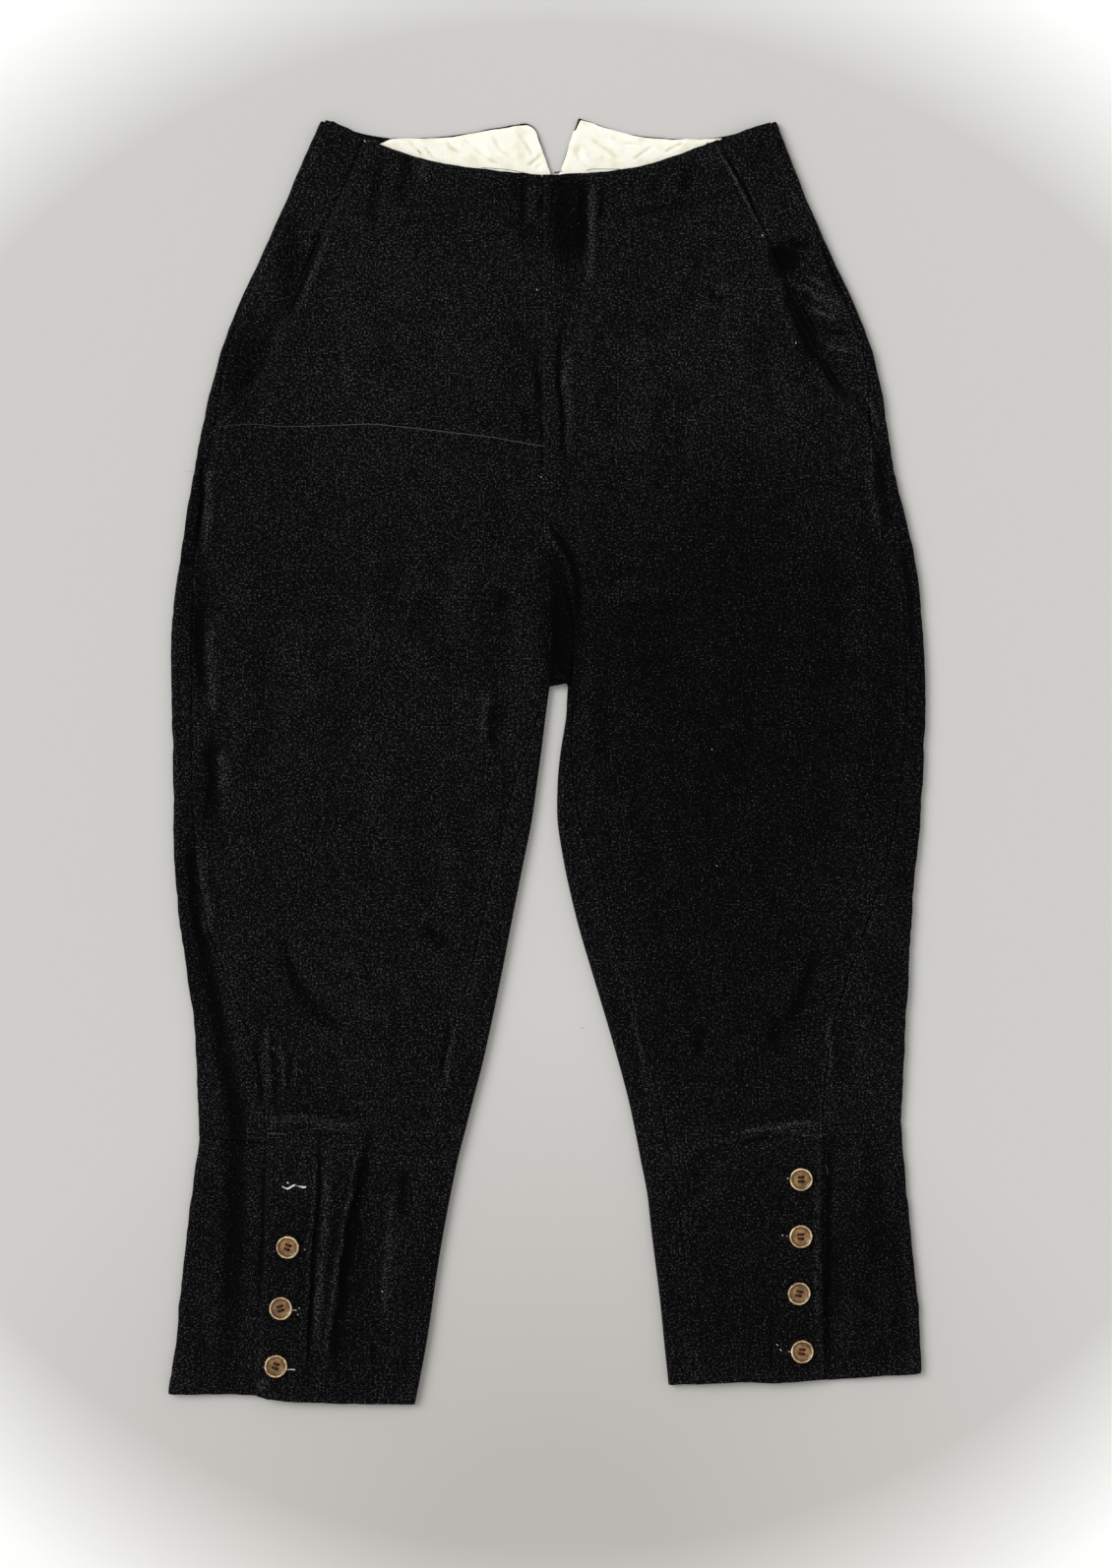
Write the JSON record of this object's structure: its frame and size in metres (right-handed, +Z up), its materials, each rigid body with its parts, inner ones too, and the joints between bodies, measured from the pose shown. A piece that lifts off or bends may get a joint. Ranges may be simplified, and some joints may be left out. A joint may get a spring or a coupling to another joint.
{
  "type": "knee breeches",
  "caption": "High-waisted knee breeches in black napped cloth, with a fly, slant pockets, a peaked back waist and buttoned knee bands, laid flat on their back.",
  "frame": {"origin": "middle of the garment's outline, on the surface that it lies on", "axes": "+Y from the knee bands to the waist, +X to the wearer's left, +Z up from the surface, out of the front of the garment"},
  "size_m": [0.507, 0.861, 0.0108],
  "materials": {
    "moleskin": "napped and matt, with a faint sheen along the folds",
    "cotton": "plain woven, unbleached and matt",
    "corozo": "polished nut, tan and brown"
  },
  "bodies": {
    "root": {"right_back": "moleskin", "left_back": "moleskin", "right_front": "moleskin", "left_front": "moleskin", "right_hip": "moleskin", "left_hip": "moleskin", "fly_shield": "moleskin", "right_lining": "cotton", "left_lining": "cotton", "right_band_back": "moleskin", "left_band_back": "moleskin", "right_band_front": "moleskin", "left_band_front": "moleskin", "right_button_2": "corozo", "right_button_3": "corozo", "right_button_4": "corozo", "left_button_1": "corozo", "left_button_2": "corozo", "left_button_3": "corozo", "left_button_4": "corozo"}
  },
  "joints": []
}
